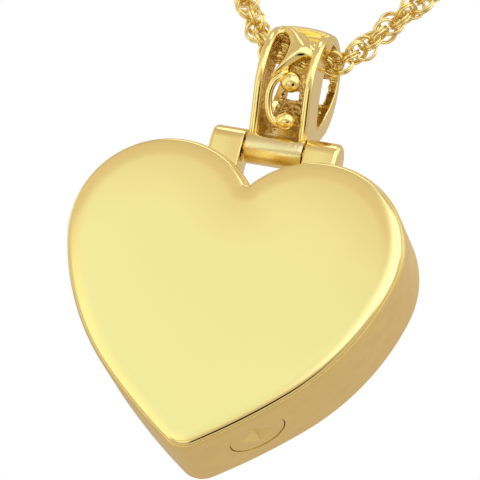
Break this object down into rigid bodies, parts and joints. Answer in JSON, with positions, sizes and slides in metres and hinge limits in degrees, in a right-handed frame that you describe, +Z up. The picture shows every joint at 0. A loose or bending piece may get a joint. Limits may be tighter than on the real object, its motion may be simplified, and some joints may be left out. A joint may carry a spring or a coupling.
{
  "type": "keepsake urn pendant on a chain",
  "caption": "Hollow gold heart pendant with a sealed filling port, hinged on an openwork bail and threaded on a rope chain.",
  "frame": {"origin": "underside of the clasp in the middle of the chain's top, where the necklace lies on the back of the neck", "axes": "+Z up, the pendant hangs at -Z; the heart's front faces -Y; +X to the right as seen from the front"},
  "size_m": [0.129, 0.0089, 0.2043],
  "materials": {
    "chain": "polished",
    "clasp": "polished",
    "bail": "polished, grainy inside",
    "heart_case": "polished front, satin sides",
    "port_plug": "satin"
  },
  "bodies": {
    "necklace": {"chain": "chain", "clasp": "clasp"},
    "bail": {"bail": "bail"},
    "heart": {"heart_case": "heart_case"},
    "plug": {"port_plug": "port_plug"}
  },
  "joints": [
    {"name": "bail_swing", "type": "hinge", "parent": "necklace", "child": "bail", "pos_m": [0, 0, -0.1682], "axis": [1, 0, 0], "range_deg": [-60, 60]},
    {"name": "heart_swing", "type": "hinge", "parent": "bail", "child": "heart", "pos_m": [0, 0, -0.17495], "axis": [1, 0, 0], "range_deg": [-70, 75]},
    {"name": "plug_unscrew", "type": "slide", "parent": "heart", "child": "plug", "axis": [0.6334, 0.0943, -0.7681], "range_m": [0, 0.004]}
  ]
}
